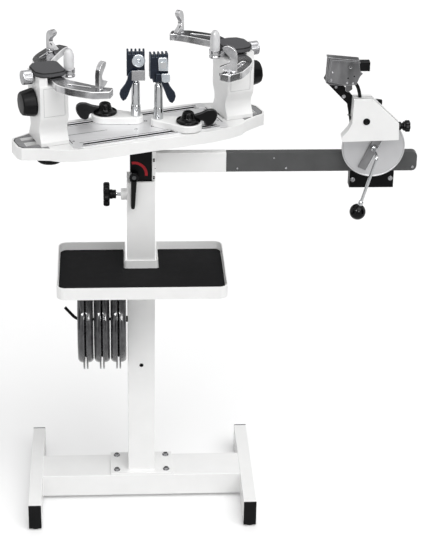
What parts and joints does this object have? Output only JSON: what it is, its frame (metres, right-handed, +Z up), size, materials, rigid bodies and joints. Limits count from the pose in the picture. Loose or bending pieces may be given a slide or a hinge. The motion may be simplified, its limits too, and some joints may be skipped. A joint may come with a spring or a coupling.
{
  "type": "racket stringing machine",
  "caption": "Floor-standing racket stringing machine: base, telescopic column with tray, turntable with clamps and racket holders, and a crank tension head on a side bar.",
  "frame": {"origin": "middle of the whole outline, on the floor", "axes": "+Z up, +X to the right along the side bar, +Y away from the operator's front"},
  "size_m": [1.0017, 0.4442, 1.2938],
  "materials": {
    "white_paint": "satin",
    "black_paint": "satin",
    "black_plastic": "satin",
    "gloss_black": "gloss",
    "grey_bar": "satin",
    "rubber": "matte",
    "pad_rubber": "matte",
    "brushed": "brushed",
    "cast_metal": "polished",
    "chrome": "polished",
    "string": "satin",
    "clear_plastic": "clear",
    "wheel_grey": "satin",
    "gripper_grey": "satin",
    "navy": "gloss"
  },
  "bodies": {
    "stand": {"base_frame": "white_paint", "foot_cap_front_left": "black_plastic", "foot_cap_front_right": "black_plastic", "foot_cap_rear_left": "black_plastic", "foot_cap_rear_right": "black_plastic", "column": "white_paint", "tray": "white_paint", "tray_mat": "rubber", "case_rod": "black_paint"},
    "height_knob_body": {"height_knob": "black_plastic"},
    "mast": {"inner_column": "black_paint", "bar_sleeve": "white_paint", "tension_bar": "grey_bar"},
    "brake_lever_body": {"brake_lever": "black_plastic"},
    "head": {"carriage": "black_paint", "tension_cover": "white_paint", "gripper_arm": "black_paint"},
    "crank_body": {"crank_wheel": "wheel_grey", "crank": "chrome"},
    "ball_body": {"ball_knob": "gloss_black"},
    "tension_knob_body": {"tension_knob": "black_plastic"},
    "gripper": {"gripper_body": "gripper_grey"},
    "jaw": {"gripper_jaw": "black_plastic"},
    "turntable_body": {"turntable": "white_paint", "track_plate": "brushed"},
    "lock_knob_body": {"lock_knob": "black_plastic"},
    "case_1": {"string_case_1": "clear_plastic", "wound_string_1": "string"},
    "case_2": {"string_case_2": "clear_plastic", "wound_string_2": "string"},
    "case_3": {"string_case_3": "clear_plastic", "wound_string_3": "string"},
    "tower_left_body": {"tower_left": "white_paint", "racket_pad_left": "pad_rubber"},
    "hold_down_left_body": {"hold_down_left": "cast_metal"},
    "hold_knob_left_body": {"hold_knob_left": "brushed"},
    "arm_knob_left_body": {"arm_knob_left": "black_plastic"},
    "arm_left_front": {"shoulder_arm_left_front": "cast_metal"},
    "hook_left_front": {"claw_hook_left_front": "cast_metal"},
    "arm_left_rear": {"shoulder_arm_left_rear": "cast_metal"},
    "hook_left_rear": {"claw_hook_left_rear": "cast_metal"},
    "slot_nut_left_body": {"slot_nut_left": "brushed"},
    "clamp_base_left_body": {"clamp_base_left": "white_paint"},
    "cam_lever_left_body": {"cam_lever_left": "gloss_black"},
    "clamp_head_left_body": {"clamp_head_left": "navy"},
    "jaw_lever_left_body": {"jaw_lever_left": "navy"},
    "tower_right_body": {"tower_right": "white_paint", "racket_pad_right": "pad_rubber"},
    "hold_down_right_body": {"hold_down_right": "cast_metal"},
    "hold_knob_right_body": {"hold_knob_right": "brushed"},
    "arm_knob_right_body": {"arm_knob_right": "black_plastic"},
    "arm_right_front": {"shoulder_arm_right_front": "cast_metal"},
    "hook_right_front": {"claw_hook_right_front": "cast_metal"},
    "arm_right_rear": {"shoulder_arm_right_rear": "cast_metal"},
    "hook_right_rear": {"claw_hook_right_rear": "cast_metal"},
    "slot_nut_right_body": {"slot_nut_right": "brushed"},
    "clamp_base_right_body": {"clamp_base_right": "white_paint"},
    "cam_lever_right_body": {"cam_lever_right": "gloss_black"},
    "clamp_head_right_body": {"clamp_head_right": "navy"},
    "jaw_lever_right_body": {"jaw_lever_right": "navy"}
  },
  "joints": [
    {"name": "height_knob_turn", "type": "hinge", "parent": "stand", "child": "height_knob_body", "pos_m": [-0.25, 0, 0.874], "axis": [1, 0, 0], "continuous": true},
    {"name": "mast_height", "type": "slide", "parent": "stand", "child": "mast", "axis": [0, 0, 1], "range_m": [0, 0.13]},
    {"name": "brake_lever_turn", "type": "hinge", "parent": "mast", "child": "brake_lever_body", "pos_m": [-0.2075, -0.038, 0.939], "axis": [0, 1, 0], "range_deg": [0, 90]},
    {"name": "head_slide", "type": "slide", "parent": "mast", "child": "head", "axis": [1, 0, 0], "range_m": [-0.1, 0.045]},
    {"name": "crank_turn", "type": "hinge", "parent": "head", "child": "crank_body", "pos_m": [0.384, -0.06, 1.011], "axis": [0, 1, 0], "range_deg": [-600, 270]},
    {"name": "ball_turn", "type": "hinge", "parent": "crank_body", "child": "ball_body", "pos_m": [0.34366, -0.102, 0.86653], "axis": [-0.2689, 0, -0.9632], "continuous": true},
    {"name": "tension_knob_turn", "type": "hinge", "parent": "head", "child": "tension_knob_body", "pos_m": [0.445, -0.056, 1.075], "axis": [1, 0, 0], "continuous": true},
    {"name": "gripper_tilt", "type": "hinge", "parent": "head", "child": "gripper", "pos_m": [0.2795, -0.046, 1.192], "axis": [0, 1, 0], "range_deg": [-8, 8]},
    {"name": "jaw_close", "type": "slide", "parent": "gripper", "child": "jaw", "axis": [0, -1, 0], "range_m": [0, 0.005]},
    {"name": "turntable_turn", "type": "hinge", "parent": "mast", "child": "turntable_body", "pos_m": [-0.19, 0, 1.04], "axis": [0, 0, 1], "continuous": true},
    {"name": "case_1_turn", "type": "hinge", "parent": "stand", "child": "case_1", "pos_m": [-0.2495, 0, 0.52], "axis": [1, 0, 0], "continuous": true},
    {"name": "case_2_turn", "type": "hinge", "parent": "stand", "child": "case_2", "pos_m": [-0.2915, 0, 0.52], "axis": [1, 0, 0], "continuous": true},
    {"name": "case_3_turn", "type": "hinge", "parent": "stand", "child": "case_3", "pos_m": [-0.3335, 0, 0.52], "axis": [1, 0, 0], "continuous": true},
    {"name": "tower_left_slide", "type": "slide", "parent": "turntable_body", "child": "tower_left_body", "axis": [-0.9373, -0.3486, 0], "range_m": [0, 0.029]},
    {"name": "hold_knob_left_turn", "type": "hinge", "parent": "tower_left_body", "child": "hold_knob_left_body", "pos_m": [-0.459, -0.10004, 1.221], "axis": [-0.9373, -0.3486, 0], "range_deg": [-2160, 432]},
    {"name": "hold_down_left_slide", "type": "slide", "parent": "tower_left_body", "child": "hold_down_left_body", "axis": [-0.9373, -0.3486, 0], "range_m": [-0.015, 0.003]},
    {"name": "arm_knob_left_turn", "type": "hinge", "parent": "tower_left_body", "child": "arm_knob_left_body", "pos_m": [-0.459, -0.10004, 1.157], "axis": [-0.9373, -0.3486, 0], "range_deg": [-180, 180]},
    {"name": "arm_left_front_turn", "type": "hinge", "parent": "tower_left_body", "child": "arm_left_front", "pos_m": [-0.39418, -0.10794, 1.218], "axis": [0, 0, 1], "range_deg": [-6, 6]},
    {"name": "hook_left_front_turn", "type": "hinge", "parent": "arm_left_front", "child": "hook_left_front", "pos_m": [-0.28975, -0.20341, 1.23], "axis": [0, 0, 1], "range_deg": [-40, 40]},
    {"name": "arm_left_rear_turn", "type": "hinge", "parent": "tower_left_body", "child": "arm_left_rear", "pos_m": [-0.41509, -0.05171, 1.218], "axis": [0, 0, 1], "range_deg": [-6, 6]},
    {"name": "hook_left_rear_turn", "type": "hinge", "parent": "arm_left_rear", "child": "hook_left_rear", "pos_m": [-0.41004, 0.07942, 1.23], "axis": [0, 0, 1], "range_deg": [-40, 40]},
    {"name": "slot_nut_left_slide", "type": "slide", "parent": "turntable_body", "child": "slot_nut_left_body", "axis": [0.9373, 0.3486, 0], "range_m": [-0.04, 0.005]},
    {"name": "clamp_base_left_swing", "type": "hinge", "parent": "slot_nut_left_body", "child": "clamp_base_left_body", "pos_m": [-0.27733, 0.03687, 1.068], "axis": [0, 0, 1], "range_deg": [-15, 15]},
    {"name": "cam_lever_left_turn", "type": "hinge", "parent": "slot_nut_left_body", "child": "cam_lever_left_body", "pos_m": [-0.27733, 0.03687, 1.085], "axis": [0, 0, 1], "range_deg": [-40, 60]},
    {"name": "clamp_head_left_turn", "type": "hinge", "parent": "clamp_base_left_body", "child": "clamp_head_left_body", "pos_m": [-0.2019, 0.02139, 1.2], "axis": [0, 0, 1], "range_deg": [-40, 40]},
    {"name": "jaw_lever_left_turn", "type": "hinge", "parent": "clamp_head_left_body", "child": "jaw_lever_left_body", "pos_m": [-0.21478, 0.0038, 1.1883], "axis": [-0.007, 1, 0], "range_deg": [0, 45]},
    {"name": "tower_right_slide", "type": "slide", "parent": "turntable_body", "child": "tower_right_body", "axis": [0.9373, 0.3486, 0], "range_m": [-0.009, 0.019]},
    {"name": "hold_knob_right_turn", "type": "hinge", "parent": "tower_right_body", "child": "hold_knob_right_body", "pos_m": [0.08837, 0.10353, 1.221], "axis": [0.9373, 0.3486, 0], "range_deg": [-2160, 0]},
    {"name": "hold_down_right_slide", "type": "slide", "parent": "tower_right_body", "child": "hold_down_right_body", "axis": [0.9373, 0.3486, 0], "range_m": [-0.015, 0]},
    {"name": "arm_knob_right_turn", "type": "hinge", "parent": "tower_right_body", "child": "arm_knob_right_body", "pos_m": [0.08837, 0.10353, 1.157], "axis": [0.9373, 0.3486, 0], "range_deg": [-180, 180]},
    {"name": "arm_right_front_turn", "type": "hinge", "parent": "tower_right_body", "child": "arm_right_front", "pos_m": [0.04447, 0.05519, 1.218], "axis": [0, 0, 1], "range_deg": [-6, 6]},
    {"name": "hook_right_front_turn", "type": "hinge", "parent": "arm_right_front", "child": "hook_right_front", "pos_m": [0.0289, -0.08827, 1.23], "axis": [0, 0, 1], "range_deg": [-40, 40]},
    {"name": "arm_right_rear_turn", "type": "hinge", "parent": "tower_right_body", "child": "arm_right_rear", "pos_m": [0.02355, 0.11143, 1.218], "axis": [0, 0, 1], "range_deg": [-6, 6]},
    {"name": "hook_right_rear_turn", "type": "hinge", "parent": "arm_right_rear", "child": "hook_right_rear", "pos_m": [-0.0853, 0.20188, 1.23], "axis": [0, 0, 1], "range_deg": [-40, 40]},
    {"name": "slot_nut_right_slide", "type": "slide", "parent": "turntable_body", "child": "slot_nut_right_body", "axis": [0.9373, 0.3486, 0], "range_m": [-0.005, 0.02]},
    {"name": "clamp_base_right_swing", "type": "hinge", "parent": "slot_nut_right_body", "child": "clamp_base_right_body", "pos_m": [-0.07455, -0.02642, 1.068], "axis": [0, 0, 1], "range_deg": [-15, 15]},
    {"name": "cam_lever_right_turn", "type": "hinge", "parent": "slot_nut_right_body", "child": "cam_lever_right_body", "pos_m": [-0.07455, -0.02642, 1.085], "axis": [0, 0, 1], "range_deg": [-40, 60]},
    {"name": "clamp_head_right_turn", "type": "hinge", "parent": "clamp_base_right_body", "child": "clamp_head_right_body", "pos_m": [-0.14663, 0.00068, 1.2], "axis": [0, 0, 1], "range_deg": [-40, 40]},
    {"name": "jaw_lever_right_turn", "type": "hinge", "parent": "clamp_head_right_body", "child": "jaw_lever_right_body", "pos_m": [-0.13176, -0.01527, 1.1883], "axis": [0.1115, -0.9938, 0], "range_deg": [0, 45]},
    {"name": "lock_knob_turn", "type": "hinge", "parent": "tower_left_body", "child": "lock_knob_body", "pos_m": [-0.41214, -0.08261, 1.013], "axis": [0, 0, 1], "continuous": true}
  ],
  "couplings": [
    {"joint": "head_slide", "follows": "crank_turn", "m_per_rad": 0.0095493},
    {"joint": "hold_down_left_slide", "follows": "hold_knob_left_turn", "m_per_rad": 0.00039789},
    {"joint": "arm_left_front_turn", "follows": "arm_knob_left_turn", "ratio": 0.033333},
    {"joint": "arm_left_rear_turn", "follows": "arm_knob_left_turn", "ratio": -0.033333},
    {"joint": "hold_down_right_slide", "follows": "hold_knob_right_turn", "m_per_rad": 0.00039789},
    {"joint": "arm_right_front_turn", "follows": "arm_knob_right_turn", "ratio": -0.033333},
    {"joint": "arm_right_rear_turn", "follows": "arm_knob_right_turn", "ratio": 0.033333}
  ]
}
